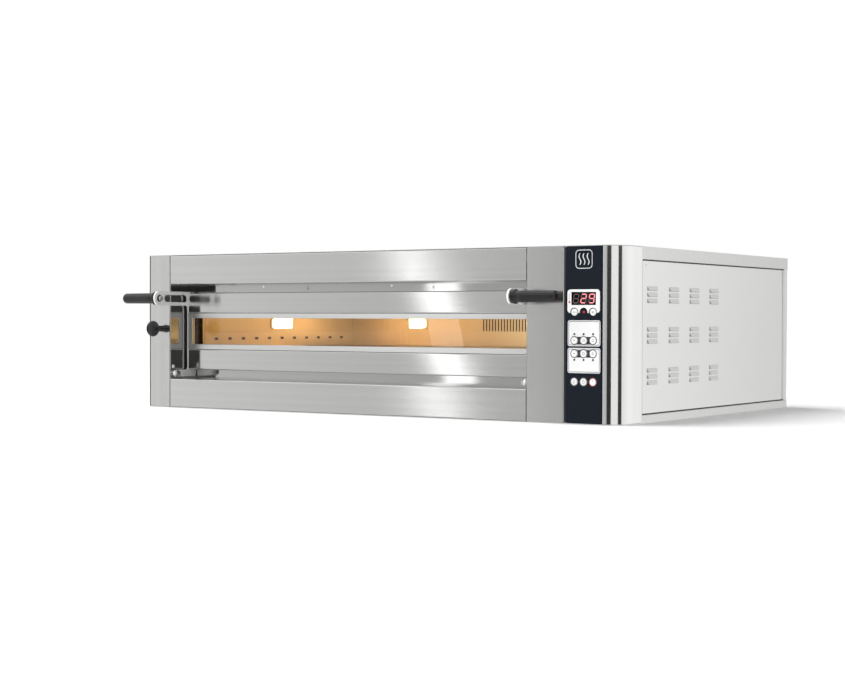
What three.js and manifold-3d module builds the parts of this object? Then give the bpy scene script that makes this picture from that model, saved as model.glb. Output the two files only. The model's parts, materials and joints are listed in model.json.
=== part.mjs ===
// Countertop deck oven for pizza: a sheet-metal case round an insulated baking chamber, with a
// bottom-hung glass door on side arms, a push-button control panel and a push-pull vapour damper.
// Millimetres, +Z up. X runs to the viewer's right, and Y is measured back from the front face;
// the whole oven is then moved so that the origin is the centre of its underside.

import * as THREE from 'three';
import { mergeVertices } from 'three/addons/utils/BufferGeometryUtils.js';
import { ConvexGeometry } from 'three/addons/geometries/ConvexGeometry.js';
import Module from 'manifold-3d';

const wasm = await Module();
wasm.setup();

// ---------------------------------------------------------------- overall sizes
const width = 1470;
const depth = 1053;
const height = 423;
const gap = 0.3; // left between pieces that touch
const sheet = 1.5; // the case's steel
const foldRadius = 3;
const shortestEdge = 0.005; // slivers below this are closed up

// ---------------------------------------------------------------- layout of the front
const leftPillarWidth = 79.5;
const rightPillarWidth = 103;
const seamWidth = 5; // dark joint between the right pillar and the control panel
const controlWidth = 95.5;
const postWidth = 51.5;
const upperFasciaHeight = 81;
const lowerFasciaHeight = 80;
const bayDepth = 98; // how far back the door bay goes
const returnDepth = 110; // how far the front pieces wrap round the sides
const leftCornerRadius = 6;
const postRadius = 40;

const left = -width / 2;
const right = width / 2;
const bayLeft = left + leftPillarWidth;
const panelRight = right - postWidth;
const panelLeft = panelRight - controlWidth;
const pillarRight = panelLeft - seamWidth;
const bayRight = pillarRight - rightPillarWidth;
const bayCentre = (bayLeft + bayRight) / 2;
const bayBottom = lowerFasciaHeight;
const bayTop = height - upperFasciaHeight;

// ---------------------------------------------------------------- case
const baseThickness = 2;
const baseRailHeight = 20;
const coverRailHeight = 31;
const rearInset = 3; // the cover overhangs the rear panel by this much
const rearFlange = 22;
const sideInset = 4.3; // side panels lie this far inside the rails
const frontBottom = baseThickness + gap;
const frontTop = height - sheet - gap;
const rearFace = depth - rearInset;

// ---------------------------------------------------------------- chamber
const stoneTop = bayBottom + 85;
const stoneThickness = 18;
const ceilingDrop = 37; // chamber ceiling below the top of the door bay
const chamberSideGap = 27.75; // chamber wall in from the bay wall
const chamberRear = depth - 217;
const underStone = 19; // room for the lower element and the bearers
const skirtThickness = 8;
const skirtTop = stoneTop + 45;
const skirtHoleStart = 57;
const skirtHolePitch = 60.5;
const skirtHoleLength = 15;
const skirtHoleHeight = 7;
const skirtHoleDepth = 4;
const skirtHoleZ = stoneTop + 25;

const chamberLeft = bayLeft + chamberSideGap;
const chamberRight = bayRight - chamberSideGap;
const chamberFront = bayDepth + sheet + gap;
const chamberFloor = stoneTop - stoneThickness - underStone;
const chamberTop = bayTop - ceilingDrop;
const mouthMargin = 8; // chamber wall to mouth opening

// ---------------------------------------------------------------- insulation
const insulationThickness = 60;
const leftInsulation = 34; // thinner, to leave room for the damper rod
const rearInsulation = 45;
const insulationRear = chamberRear + sheet + gap + rearInsulation;

// ---------------------------------------------------------------- damper and vapour duct
const damperX = bayLeft - 16.5;
const damperZ = bayBottom + 139;
const damperTravel = 30;
const damperRodRadius = 4;
const damperRodRear = insulationRear + 22;
const knobCentre = 52; // knob's widest ring in front of the face
const knobRadius = 22;
const knobNeckRadius = 9.5;
const knobNeckHole = knobNeckRadius + 1.5;
const knobBoreDepth = 30;
const grilleCentre = -8;
const grilleSlots = 27;
const grillePitch = 10.4;
const grilleSlotWidth = 5;
const grilleBottom = skirtTop + 1;
const grilleTop = stoneTop + 83;
const ductMargin = 8;
const ductWall = 1.2;

// ---------------------------------------------------------------- door
const doorFront = 64;
const doorBack = bayDepth - 1;
const doorBottom = bayBottom + 25;
const doorTop = bayTop - 23;
const bandHeight = 57;
const frameBar = 13.5;
const stileWidth = 14;
const frameProud = 1.5;
const frameThickness = 11.5;
const glassThickness = 4;
const glassRebate = 6;
const armClearance = 6;
const armThickness = 5;
const pivotY = 15;
const pivotZ = bayBottom + 15;
const handleY = -57;
const handleZ = doorTop - 16.5;
const barHalf = 19.5;
const lugRadius = 9.5;
const armLegFront = doorFront;
const armBack = doorBack - 1;
const slotRadius = 10;
const slotFront = -26;
const slotBack = 50;
const bossRadius = 16; // welded outside the bar, under the grip
const bossThickness = 5;
const handleLength = 114;
const handleRadius = 14.5;
const flangeRadius = 18.5;
const flangeThickness = 7.5;
const screwRadius = 4;
const screwDepth = 30;
const pivotRadius = 5;
const pivotClearance = 0.08;

const doorLeft = bayLeft + armClearance + armThickness + gap;
const doorRight = bayRight - armClearance - armThickness - gap;
const windowBottom = doorBottom + bandHeight + frameBar;
const windowTop = doorTop - bandHeight - frameBar;

// ---------------------------------------------------------------- control panel
const panelThickness = 4;
const panelCentre = (panelLeft + panelRight) / 2;
const buttonPitch = 24.7;
const buttonRadius = 8.5;
const buttonClearance = 0.5;
const buttonProud = 1.5;
const buttonStem = 3;
const buttonTravel = 1;
const boardFront = 16;
const switchHeight = 4;
const displayCentre = height - 125.5;
const displayWidth = 64;
const displayHeight = 30;
const bezelWidth = 86;
const bezelTop = height - 104;
const bezelBottom = height - 159.5;
const setButtonsZ = height - 157.5;
const buttons = [
  ['temperature_down_button', -1, setButtonsZ],
  ['temperature_up_button', 1, setButtonsZ],
  ['top_heat_less_button', -1, height - 224.5],
  ['top_heat_off_button', 0, height - 224.5],
  ['top_heat_more_button', 1, height - 224.5],
  ['bottom_heat_less_button', -1, height - 255.5],
  ['bottom_heat_off_button', 0, height - 255.5],
  ['bottom_heat_more_button', 1, height - 255.5],
  ['lamp_button', -1, height - 322.3],
  ['timer_button', 0, height - 322.3],
  ['power_button', 1, height - 322.3],
];

// ================================================================ solids
const Y_Z_X = new THREE.Matrix4().makeBasis(
  new THREE.Vector3(0, 1, 0),
  new THREE.Vector3(0, 0, 1),
  new THREE.Vector3(1, 0, 0),
);
const X_Z_FRONT = new THREE.Matrix4().makeBasis(
  new THREE.Vector3(1, 0, 0),
  new THREE.Vector3(0, 0, 1),
  new THREE.Vector3(0, -1, 0),
);

// A closed three.js geometry as a manifold solid that faces outward.
function solid(geometry) {
  const bare = new THREE.BufferGeometry();
  bare.setAttribute('position', geometry.attributes.position.clone());
  if (geometry.index) bare.setIndex(geometry.index.clone());
  const merged = mergeVertices(bare, 1e-4);
  const points = merged.attributes.position;
  const [a, b, c] = [new THREE.Vector3(), new THREE.Vector3(), new THREE.Vector3()];
  const triangles = [];
  let volume = 0;
  for (let i = 0; i < merged.index.count; i += 3) {
    const [p, q, r] = [0, 1, 2].map((k) => merged.index.getX(i + k));
    if (p === q || q === r || r === p) continue;
    triangles.push([p, q, r]);
    a.fromBufferAttribute(points, p);
    b.fromBufferAttribute(points, q);
    c.fromBufferAttribute(points, r);
    volume += a.dot(b.cross(c));
  }
  if (volume < 0) triangles.forEach((triangle) => triangle.reverse());
  const triVerts = Uint32Array.from(triangles.flat());
  return new wasm.Manifold(new wasm.Mesh({ numProp: 3, vertProperties: points.array, triVerts }));
}

function box([x0, x1], [y0, y1], [z0, z1]) {
  const geometry = new THREE.BoxGeometry(x1 - x0, y1 - y0, z1 - z0);
  geometry.translate((x0 + x1) / 2, (y0 + y1) / 2, (z0 + z1) / 2);
  return solid(geometry);
}

function rodX(radius, [x0, x1], y, z, sides = 24) {
  const geometry = new THREE.CylinderGeometry(radius, radius, x1 - x0, sides);
  geometry.rotateZ(-Math.PI / 2).translate((x0 + x1) / 2, y, z);
  return solid(geometry);
}

function rodY(radius, x, [y0, y1], z, sides = 24) {
  const geometry = new THREE.CylinderGeometry(radius, radius, y1 - y0, sides);
  geometry.translate(x, (y0 + y1) / 2, z);
  return solid(geometry);
}

function extrude(shape, length, curveSegments = 6) {
  return new THREE.ExtrudeGeometry(shape, { depth: length, bevelEnabled: false, curveSegments });
}

// Shapes drawn in plan, in side view (Y, Z) and in front view (X, Z), made into solids.
const extrudeZ = (shape, [z0, z1]) => solid(extrude(shape, z1 - z0).translate(0, 0, z0));
const extrudeX = (shape, [x0, x1]) =>
  solid(extrude(shape, x1 - x0).applyMatrix4(Y_Z_X).translate(x0, 0, 0));
const extrudeY = (shape, [y0, y1]) =>
  solid(extrude(shape, y1 - y0).applyMatrix4(X_Z_FRONT).translate(0, y1, 0));

// A profile of [radius, distance along the axis] turned about X or Y.
function latheY(profile, x, z, segments = 24) {
  const points = profile.map(([radius, along]) => new THREE.Vector2(radius, along));
  return solid(new THREE.LatheGeometry(points, segments).translate(x, 0, z));
}

function latheX(profile, x, y, z, towards, segments = 20) {
  const points = profile.map(([radius, along]) => new THREE.Vector2(radius, along));
  const geometry = new THREE.LatheGeometry(points, segments);
  geometry.rotateZ((-towards * Math.PI) / 2).translate(x, y, z);
  return solid(geometry);
}

function rectangle([x0, x1], [y0, y1], radius = 0) {
  const shape = new THREE.Shape();
  shape.moveTo(x0 + radius, y0);
  shape.lineTo(x1 - radius, y0);
  if (radius) shape.absarc(x1 - radius, y0 + radius, radius, -Math.PI / 2, 0);
  shape.lineTo(x1, y1 - radius);
  if (radius) shape.absarc(x1 - radius, y1 - radius, radius, 0, Math.PI / 2);
  shape.lineTo(x0 + radius, y1);
  if (radius) shape.absarc(x0 + radius, y1 - radius, radius, Math.PI / 2, Math.PI);
  shape.lineTo(x0, y0 + radius);
  if (radius) shape.absarc(x0 + radius, y0 + radius, radius, Math.PI, 1.5 * Math.PI);
  return shape;
}

function ring(outer, inner) {
  const shape = rectangle(...outer);
  shape.holes.push(rectangle(...inner));
  return shape;
}

// The section of a folded sheet. The path is one face, and the sheet lies to its left.
function foldedSheet(path, radii = []) {
  const near = [];
  const far = [];
  const points = path.map(([u, v]) => new THREE.Vector2(u, v));
  const leftOf = (way) => new THREE.Vector2(-way.y, way.x);
  points.forEach((point, i) => {
    const wayIn = i ? point.clone().sub(points[i - 1]).normalize() : null;
    const wayOut = i < points.length - 1 ? points[i + 1].clone().sub(point).normalize() : null;
    if (!wayIn || !wayOut) {
      near.push(point);
      far.push(leftOf(wayIn ?? wayOut).multiplyScalar(sheet).add(point));
      return;
    }
    const turn = Math.atan2(wayIn.cross(wayOut), wayIn.dot(wayOut));
    const side = Math.sign(turn);
    const radius = radii[i] ?? foldRadius;
    const start = point.clone().addScaledVector(wayIn, -radius * Math.tan(Math.abs(turn) / 2));
    const centre = start.clone().addScaledVector(leftOf(wayIn), side * radius);
    const steps = radius > 10 ? 12 : 3;
    for (let step = 0; step <= steps; step += 1) {
      const spoke = start.clone().sub(centre).rotateAround(new THREE.Vector2(), (turn * step) / steps);
      near.push(spoke.clone().add(centre));
      far.push(spoke.multiplyScalar((radius - side * sheet) / radius).add(centre));
    }
  });
  return new THREE.Shape([...near, ...far.reverse()]);
}

const joined = (pieces) => pieces.reduce((whole, piece) => whole.add(piece));
const cut = (whole, tools) => tools.reduce((rest, tool) => rest.subtract(tool), whole);

// ================================================================ materials
const looks = {
  satinSteel: { color: 0xb9bab8, roughness: 0.34, metalness: 1 },
  polishedSteel: { color: 0xd6d7d8, roughness: 0.12, metalness: 1 },
  innerSteel: { color: 0xa8a49c, roughness: 0.4, metalness: 1 },
  bakelite: { color: 0x141414, roughness: 0.38, metalness: 0 },
  panelBlue: { color: 0x181e28, roughness: 0.16, metalness: 0 },
  whitePlastic: { color: 0xe6e7e6, roughness: 0.4, metalness: 0 },
  blackLens: { color: 0x0a0909, roughness: 0.1, metalness: 0 },
  redLens: { color: 0xc81e1a, roughness: 0.2, metalness: 0 },
  glass: { color: 0xdfe6e4, roughness: 0.03, metalness: 0, transparent: true, opacity: 0.3 },
  stone: { color: 0xb9a183, roughness: 0.95, metalness: 0 },
  wool: { color: 0xd9d2b8, roughness: 1, metalness: 0 },
  heater: { color: 0x4d4a47, roughness: 0.55, metalness: 1 },
  lampGlass: { color: 0xfff0cf, roughness: 0.2, metalness: 0 },
  boardGreen: { color: 0x1d4b2c, roughness: 0.5, metalness: 0 },
  grey: { color: 0x55585b, roughness: 0.6, metalness: 0 },
};

const oven = new THREE.Group();
oven.position.y = -depth / 2;

function add(name, look, shape) {
  const mesh = shape.simplify(shortestEdge).getMesh();
  const geometry = new THREE.BufferGeometry();
  geometry.setAttribute('position', new THREE.BufferAttribute(mesh.vertProperties, 3));
  geometry.setIndex(new THREE.BufferAttribute(mesh.triVerts, 1));
  geometry.computeVertexNormals();
  const piece = new THREE.Mesh(geometry, new THREE.MeshStandardMaterial(looks[look]));
  piece.name = name;
  oven.add(piece);
}

// ================================================================ case
// Plan of the case, with the small left front corner and the large right one.
function footprint(rearY) {
  const plan = new THREE.Shape();
  plan.moveTo(left, rearY);
  plan.lineTo(left, leftCornerRadius);
  plan.absarc(left + leftCornerRadius, leftCornerRadius, leftCornerRadius, Math.PI, 1.5 * Math.PI);
  plan.lineTo(right - postRadius, 0);
  plan.absarc(right - postRadius, postRadius, postRadius, -Math.PI / 2, 0);
  plan.lineTo(right, rearY);
  return plan;
}

// Upright edges of the base and the cover: one along each side and one at the back.
function rails(rearY, zRange) {
  const alongSide = [returnDepth + gap, rearY];
  return [
    box([left, left + sheet], alongSide, zRange),
    box([right - sheet, right], alongSide, zRange),
    box([left, right], [rearY - sheet, rearY], zRange),
  ];
}

const bearerPositions = [0.2, 0.5, 0.8].map((share) =>
  THREE.MathUtils.lerp(chamberFront, chamberRear, share));
const insulationBottom = chamberFloor - sheet - gap - insulationThickness;

const bearers = bearerPositions.map((y) =>
  box([chamberLeft, chamberRight], [y, y + baseThickness], [baseThickness / 2, insulationBottom - gap]));
add('base_pan', 'innerSteel', joined([
  extrudeZ(footprint(rearFace), [0, baseThickness]),
  ...rails(rearFace, [0, baseRailHeight]),
  ...bearers,
]));

add('top_cover', 'satinSteel', joined([
  extrudeZ(footprint(depth), [height - sheet, height]),
  ...rails(depth, [height - coverRailHeight, height]),
]));

const ductX = [
  grilleCentre - (grilleSlots * grillePitch) / 2 - ductMargin,
  grilleCentre + (grilleSlots * grillePitch) / 2 + ductMargin,
];
const ductZ = [grilleBottom - ductMargin, grilleTop + ductMargin];
const widened = ([low, high], by) => [low - by, high + by];

const glandX = panelCentre;
const glandZ = baseRailHeight + 40;
const glandRadius = 10;

const rearFlangeZ = [baseRailHeight + gap, height - coverRailHeight - gap];
const rearInside = rearFace - sheet;
add('rear_panel', 'satinSteel', cut(joined([
  box([left, right], [rearInside, rearFace], rearFlangeZ),
  box(widened([left, right], -sheet - gap), [rearInside, rearFace], [rearFlangeZ[0], frontTop]),
  box([left, left + sheet], [rearFace - rearFlange, rearFace], rearFlangeZ),
  box([right - sheet, right], [rearFace - rearFlange, rearFace], rearFlangeZ),
]), [
  box(widened(ductX, gap), widened([rearInside, rearFace], 1), widened(ductZ, gap)),
  rodY(glandRadius + gap, glandX, widened([rearInside, rearFace], 1), glandZ),
]));

// Side panels, with pressed louvres that open downward.
const louvreWidth = 57;
const louvreHeight = 10.5;
const louvreDepth = sideInset - 0.1;
const louvreColumns = [173, 296, 419, 542];
const louvreRows = [97, 196, 294];
const louvrePitch = 14.7;
const louvreEnd = 5; // slope of each end

// The wedge that a louvre bulges out to. A positive inset gives its hollow, through the sheet.
function louvreWedge(side, face, y, z, inset) {
  const back = inset ? face - side * (sheet + 1) : face - side * 0.5;
  const lip = face + side * (louvreDepth - inset);
  const low = z - louvreHeight / 2 - (inset ? 0.2 : 0);
  const high = z + louvreHeight / 2 - inset;
  const half = louvreWidth / 2 - inset;
  const corners = [];
  for (const end of [-1, 1]) {
    corners.push([back, y + end * half, low], [back, y + end * half, high]);
    corners.push([face, y + end * half, low], [face, y + end * half, high]);
    corners.push([lip, y + end * (half - louvreEnd), low]);
  }
  return solid(new ConvexGeometry(corners.map((corner) => new THREE.Vector3(...corner))));
}

function sidePanel(side) {
  const edge = side * width / 2;
  const face = edge - side * sideInset;
  const across = (a, b) => [Math.min(a, b), Math.max(a, b)];
  const alongSide = [returnDepth - 10, rearInside - gap];
  const hemX = across(face - side * sheet, edge - side * (sheet + gap));
  const wedges = [];
  const hollows = [];
  for (const y of louvreColumns) {
    for (const lowest of louvreRows) {
      for (let slat = 0; slat < 3; slat += 1) {
        const z = lowest + slat * louvrePitch;
        wedges.push(louvreWedge(side, face, y, z, 0));
        hollows.push(louvreWedge(side, face, y, z, 1));
      }
    }
  }
  const hemStart = returnDepth + gap;
  return cut(joined([
    box(across(face, face - side * sheet), alongSide, [frontBottom, frontTop]),
    box(hemX, [hemStart, alongSide[1]], [frontBottom, frontBottom + sheet]),
    box(hemX, [hemStart, alongSide[1]], [frontTop - sheet, frontTop]),
    ...wedges,
  ]), hollows);
}

add('left_side_panel', 'satinSteel', sidePanel(-1));
add('right_side_panel', 'satinSteel', sidePanel(1));

// Front pillars: folded sheets whose inner returns are the walls of the door bay.
const pivotHole = pivotRadius + gap;
const frontHeight = [frontBottom, frontTop];
const bayWallEnd = bayDepth - gap;
add('left_pillar', 'satinSteel', cut(
  extrudeZ(foldedSheet(
    [[left, returnDepth], [left, 0], [bayLeft, 0], [bayLeft, bayWallEnd]],
    [0, leftCornerRadius],
  ), frontHeight),
  [
    rodY(knobNeckHole, damperX, [-1, foldRadius + 1], damperZ),
    rodX(pivotHole, widened([bayLeft - sheet, bayLeft], 1), pivotY, pivotZ),
  ],
));

const carrierFront = panelThickness + gap; // the pillar steps back here to carry the control panel
const throughCarrier = widened([carrierFront, carrierFront + sheet], 1);
const stemHoles = buttons.map(([, column, z]) =>
  rodY(buttonStem + 1, panelCentre + column * buttonPitch, throughCarrier, z, 10));
add('right_pillar', 'satinSteel', cut(
  extrudeZ(foldedSheet([
    [bayRight, bayWallEnd],
    [bayRight, 0],
    [pillarRight, 0],
    [pillarRight, carrierFront],
    [panelRight, carrierFront],
  ], [0, foldRadius, foldRadius, sheet + gap]), frontHeight),
  [
    rodX(pivotHole, widened([bayRight, bayRight + sheet], 1), pivotY, pivotZ),
    box(
      widened([panelCentre, panelCentre], displayWidth / 2),
      throughCarrier,
      widened([displayCentre, displayCentre], displayHeight / 2),
    ),
    rodY(buttonStem + 1, panelCentre, throughCarrier, setButtonsZ, 10),
    ...stemHoles,
  ],
));

add('corner_post', 'polishedSteel', extrudeZ(foldedSheet(
  [[panelRight + gap, 20], [panelRight + gap, 0], [right, 0], [right, returnDepth]],
  [0, foldRadius, postRadius],
), frontHeight));

// Fascias above and below the door: their long returns are the roof and the floor of the bay.
const fasciaX = widened([bayLeft, bayRight], -gap);
const fasciaHem = 20;
add('upper_fascia', 'satinSteel', extrudeX(foldedSheet([
  [fasciaHem, frontTop],
  [0, frontTop],
  [0, bayTop],
  [bayWallEnd, bayTop],
]), fasciaX));
add('lower_fascia', 'satinSteel', extrudeX(foldedSheet([
  [bayWallEnd, bayBottom],
  [0, bayBottom],
  [0, frontBottom],
  [fasciaHem, frontBottom],
]), fasciaX));

const mouthX = widened([chamberLeft, chamberRight], -mouthMargin);
const mouthZ = [stoneTop + gap, chamberTop];
add('mouth_frame', 'polishedSteel', extrudeY(ring(
  [widened([bayLeft, bayRight], sheet), widened([bayBottom, bayTop], sheet)],
  [mouthX, mouthZ, 4],
), [bayDepth, bayDepth + sheet]));

// ================================================================ baking chamber
const shellX = widened([chamberLeft, chamberRight], sheet);
const shellY = [chamberFront, chamberRear + sheet];
const wallZ = [chamberFloor + gap, chamberTop - gap];
const wallY = [chamberFront, chamberRear - gap];
const skirtZ = [stoneTop + gap, skirtTop];
const elementRadius = 4;
const elementLegs = 6;
const elementMargin = 68;
const elementTurn = (chamberRear - chamberFront - 2 * elementMargin) / (elementLegs - 1);
const lowerElementZ = chamberFloor + underStone / 2;
const upperElementZ = chamberTop - elementRadius - gap - 3;
const terminalEnd = chamberRight + sheet + insulationThickness + 14;
const legY = (leg) => chamberFront + elementMargin + leg * elementTurn;

add('chamber_roof', 'innerSteel', box(shellX, shellY, [chamberTop, chamberTop + sheet]));

// Stone bearers stand between the element's legs and stop short of its turns.
const bearerInset = elementTurn / 2 + 55;
const stoneBearers = [0.5, 2.5, 4.5].map((place) => box(
  widened([chamberLeft, chamberRight], -bearerInset),
  [legY(place) - 2, legY(place) + 2],
  [chamberFloor - sheet / 2, chamberFloor + underStone - gap],
));
const edgeBearers = [chamberFront + 15, chamberRear - 15].map((y) => box(
  widened([chamberLeft, chamberRight], -20),
  [y - 2, y + 2],
  [chamberFloor - sheet / 2, chamberFloor + underStone - gap],
));
add('chamber_floor', 'innerSteel', joined([
  box(shellX, shellY, [chamberFloor - sheet, chamberFloor]),
  ...stoneBearers,
  ...edgeBearers,
]));

// Lamps: a flanged glass in the left wall and another in the rear wall.
const lampBottom = stoneTop + 52;
const lampTop = stoneTop + 84;
const leftLampY = [chamberFront + 317, chamberFront + 415];
const rearLampX = [chamberLeft + 220, chamberLeft + 280];
const lampBody = 28;
const lampFlange = 4;
const lampZ = [lampBottom, lampTop];

// A side wall, with the perforated skirt that stands on the stones.
function sideWall(inner, side) {
  const across = (a, b) => [Math.min(a, b), Math.max(a, b)];
  const holes = [];
  const skirtFace = inner + side * skirtThickness;
  for (let y = chamberFront + skirtHoleStart; y < chamberRear - skirtHoleStart; y += skirtHolePitch) {
    holes.push(box(
      across(skirtFace - side * skirtHoleDepth, skirtFace + side),
      widened([y, y], skirtHoleLength / 2),
      widened([skirtHoleZ, skirtHoleZ], skirtHoleHeight / 2),
    ));
  }
  return cut(joined([
    box(across(inner, inner - side * sheet), wallY, wallZ),
    box(across(inner - side * sheet / 2, inner + side * skirtThickness), wallY, skirtZ),
  ]), holes);
}

add('chamber_left_wall', 'innerSteel', cut(sideWall(chamberLeft, 1), [
  box(widened([chamberLeft - sheet, chamberLeft], 1), widened(leftLampY, gap), widened(lampZ, gap)),
]));
const terminalHoles = [lowerElementZ, upperElementZ].flatMap((z) => [0, elementLegs - 1].map((leg) =>
  rodX(elementRadius + 1, [chamberRight - 1, terminalEnd], legY(leg), z, 12)));
add('chamber_right_wall', 'innerSteel', cut(sideWall(chamberRight, -1), terminalHoles));

const grille = [];
for (let slot = 0; slot < grilleSlots; slot += 1) {
  const x = grilleCentre + (slot - (grilleSlots - 1) / 2) * grillePitch;
  grille.push(box(
    widened([x, x], grilleSlotWidth / 2),
    widened([chamberRear, chamberRear + sheet], 1),
    [grilleBottom, grilleTop],
  ));
}
add('chamber_rear_wall', 'innerSteel', cut(joined([
  box(widened([chamberLeft, chamberRight], -gap), [chamberRear, chamberRear + sheet], wallZ),
  box(
    widened([chamberLeft, chamberRight], -skirtThickness - gap),
    [chamberRear - skirtThickness, chamberRear + sheet / 2],
    skirtZ,
  ),
]), [
  box(widened(rearLampX, gap), widened([chamberRear, chamberRear + sheet], 1), widened(lampZ, gap)),
  ...grille,
]));

add('left_lamp', 'lampGlass', joined([
  box([chamberLeft + gap, chamberLeft + gap + 2], widened(leftLampY, lampFlange), widened(lampZ, 1.5)),
  box([chamberLeft - lampBody, chamberLeft + 1], leftLampY, lampZ),
]));
add('rear_lamp', 'lampGlass', joined([
  box(widened(rearLampX, lampFlange), [chamberRear - gap - 2, chamberRear - gap], widened(lampZ, 1.5)),
  box(rearLampX, [chamberRear - 1, chamberRear + lampBody], lampZ),
]));

const stoneY = [chamberFront + 1.5, chamberRear - 1.5];
const stoneZ = [stoneTop - stoneThickness, stoneTop];
add('left_deck_stone', 'stone', box([chamberLeft + 1, bayCentre - gap], stoneY, stoneZ));
add('right_deck_stone', 'stone', box([bayCentre + gap, chamberRight - 1], stoneY, stoneZ));

// Half turn that joins two neighbouring legs of a heating element.
class HalfTurn extends THREE.Curve {
  constructor(x, y, z, radius, side) {
    super();
    Object.assign(this, { x, y, z, radius, side });
  }

  getPoint(share) {
    const angle = Math.PI * (share - 0.5);
    return new THREE.Vector3(
      this.x + this.side * this.radius * Math.cos(angle),
      this.y + this.radius * Math.sin(angle),
      this.z,
    );
  }
}

// A serpentine heating element whose two ends leave through the right wall.
function element(z) {
  const reach = widened([chamberLeft, chamberRight], -elementTurn / 2 - 40);
  const section = new THREE.Shape().absarc(0, 0, elementRadius, 0, 2 * Math.PI);
  const pieces = [];
  for (let leg = 0; leg < elementLegs; leg += 1) {
    const isEnd = leg === 0 || leg === elementLegs - 1;
    const legX = [reach[0] - 1, isEnd ? terminalEnd : reach[1] + 1];
    pieces.push(rodX(elementRadius, legX, legY(leg), z, 8));
    if (leg === elementLegs - 1) break;
    const side = leg % 2 ? 1 : -1;
    const turnX = side > 0 ? reach[1] : reach[0];
    const extrudePath = new HalfTurn(turnX, legY(leg + 0.5), z, elementTurn / 2, side);
    pieces.push(solid(new THREE.ExtrudeGeometry(section, { steps: 8, curveSegments: 4, extrudePath })));
  }
  return joined(pieces);
}

add('upper_heating_element', 'heater', element(upperElementZ));
add('lower_heating_element', 'heater', element(lowerElementZ));

// ================================================================ insulation
const woolX = [
  chamberLeft - sheet - gap - leftInsulation,
  chamberRight + sheet + gap + insulationThickness,
];
const woolY = [chamberFront, insulationRear];
const lidBottom = chamberTop + sheet + gap;
add('top_insulation', 'wool', box(woolX, woolY, [lidBottom, lidBottom + insulationThickness]));
const bottomWoolZ = [insulationBottom, insulationBottom + insulationThickness];
add('bottom_insulation', 'wool', box(woolX, woolY, bottomWoolZ));

const wrapZ = [bottomWoolZ[1] + gap, lidBottom - gap];
add('side_insulation', 'wool', cut(box(woolX, woolY, wrapZ), [
  box(widened(shellX, gap), [chamberFront - 1, chamberRear + sheet + gap], widened(wrapZ, 1)),
  box([chamberLeft - lampBody - 1, chamberLeft], widened(leftLampY, 1), widened(lampZ, 1)),
  box(widened(rearLampX, 1), [chamberRear, chamberRear + lampBody + 1], widened(lampZ, 1)),
  box(widened(ductX, gap), [chamberRear, insulationRear + 1], widened(ductZ, gap)),
  ...terminalHoles,
]));

// ================================================================ vapour duct and damper
const plateFront = chamberRear + sheet + 1.5;
const plateThickness = 2;
const ductY = [chamberRear + sheet + gap, rearFace];
const bore = (by) => widened(by, -ductWall);
add('vapour_duct', 'innerSteel', cut(box(ductX, ductY, ductZ), [
  box(bore(ductX), widened(ductY, 1), bore(ductZ)),
  box(
    [ductX[0] - 1, ductX[0] + ductWall + 1],
    [damperRodRear - damperRodRadius - 2, damperRodRear + damperTravel + damperRodRadius + 2],
    widened([damperZ, damperZ], damperRodRadius + 2),
  ),
]));
add('damper_plate', 'innerSteel', box(
  widened(bore(ductX), -3),
  [plateFront, plateFront + plateThickness],
  widened(bore(ductZ), -2.5),
));

const elbow = (x, y) => solid(new THREE.SphereGeometry(damperRodRadius, 12, 8).translate(x, y, damperZ));
add('damper_rod', 'polishedSteel', joined([
  rodY(damperRodRadius, damperX, [-knobBoreDepth, damperRodRear], damperZ, 12),
  elbow(damperX, damperRodRear),
  rodX(damperRodRadius, [damperX, grilleCentre], damperRodRear, damperZ, 12),
  elbow(grilleCentre, damperRodRear),
  rodY(damperRodRadius, grilleCentre, [plateFront + plateThickness + gap, damperRodRear], damperZ, 12),
]));

const knobBore = damperRodRadius + gap;
add('damper_knob', 'bakelite', latheY([
  [0, -knobBoreDepth - gap],
  [knobBore, -knobBoreDepth - gap],
  [knobBore, -3],
  [knobNeckRadius, -3],
  [knobNeckRadius, 14 - knobCentre],
  [knobNeckRadius + 4, 10 - knobCentre],
  [knobRadius - 3, 6 - knobCentre],
  [knobRadius, 1 - knobCentre],
  [knobRadius - 1, -3 - knobCentre],
  [knobRadius * 0.72, -8 - knobCentre],
  [knobRadius * 0.35, -10 - knobCentre],
  [0, -10.5 - knobCentre],
], damperX, damperZ));

// ================================================================ control panel
const circle = (x, z, radius) => new THREE.Path().absarc(x, z, radius, 0, 2 * Math.PI);
const panelFace = rectangle([panelLeft, panelRight], frontHeight, 5);
const displayHalf = displayWidth / 2;
const displayHole = [
  widened([panelCentre, panelCentre], displayHalf + 0.5),
  widened([displayCentre, displayCentre], displayHeight / 2 + 0.5),
];
const holeRadius = buttonRadius + buttonClearance;
for (const [, column, z] of buttons) {
  panelFace.holes.push(circle(panelCentre + column * buttonPitch, z, holeRadius));
}
panelFace.holes.push(circle(panelCentre, setButtonsZ, 3 + gap));
panelFace.holes.push(rectangle(...displayHole));
add('control_panel', 'panelBlue', extrudeY(panelFace, [0, panelThickness]));

add('display_bezel', 'whitePlastic', cut(
  extrudeY(
    ring([widened([panelCentre, panelCentre], bezelWidth / 2), [bezelBottom, bezelTop], 8], displayHole),
    [-1.5, -gap],
  ),
  [-1, 0, 1].map((column) =>
    rodY(holeRadius + 1.5, panelCentre + column * buttonPitch, [-3, 1], setButtonsZ)),
));
add('display_window', 'blackLens', box(
  widened([panelCentre, panelCentre], displayHalf),
  [-0.8, panelThickness - 0.5],
  widened([displayCentre, displayCentre], displayHeight / 2),
));
add('status_light', 'redLens', latheY([
  [0, -1.6],
  [2, -1.2],
  [3, 0],
  [3, panelThickness],
  [2.4, boardFront - gap],
  [0, boardFront - gap],
], panelCentre, setButtonsZ, 16));

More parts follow.
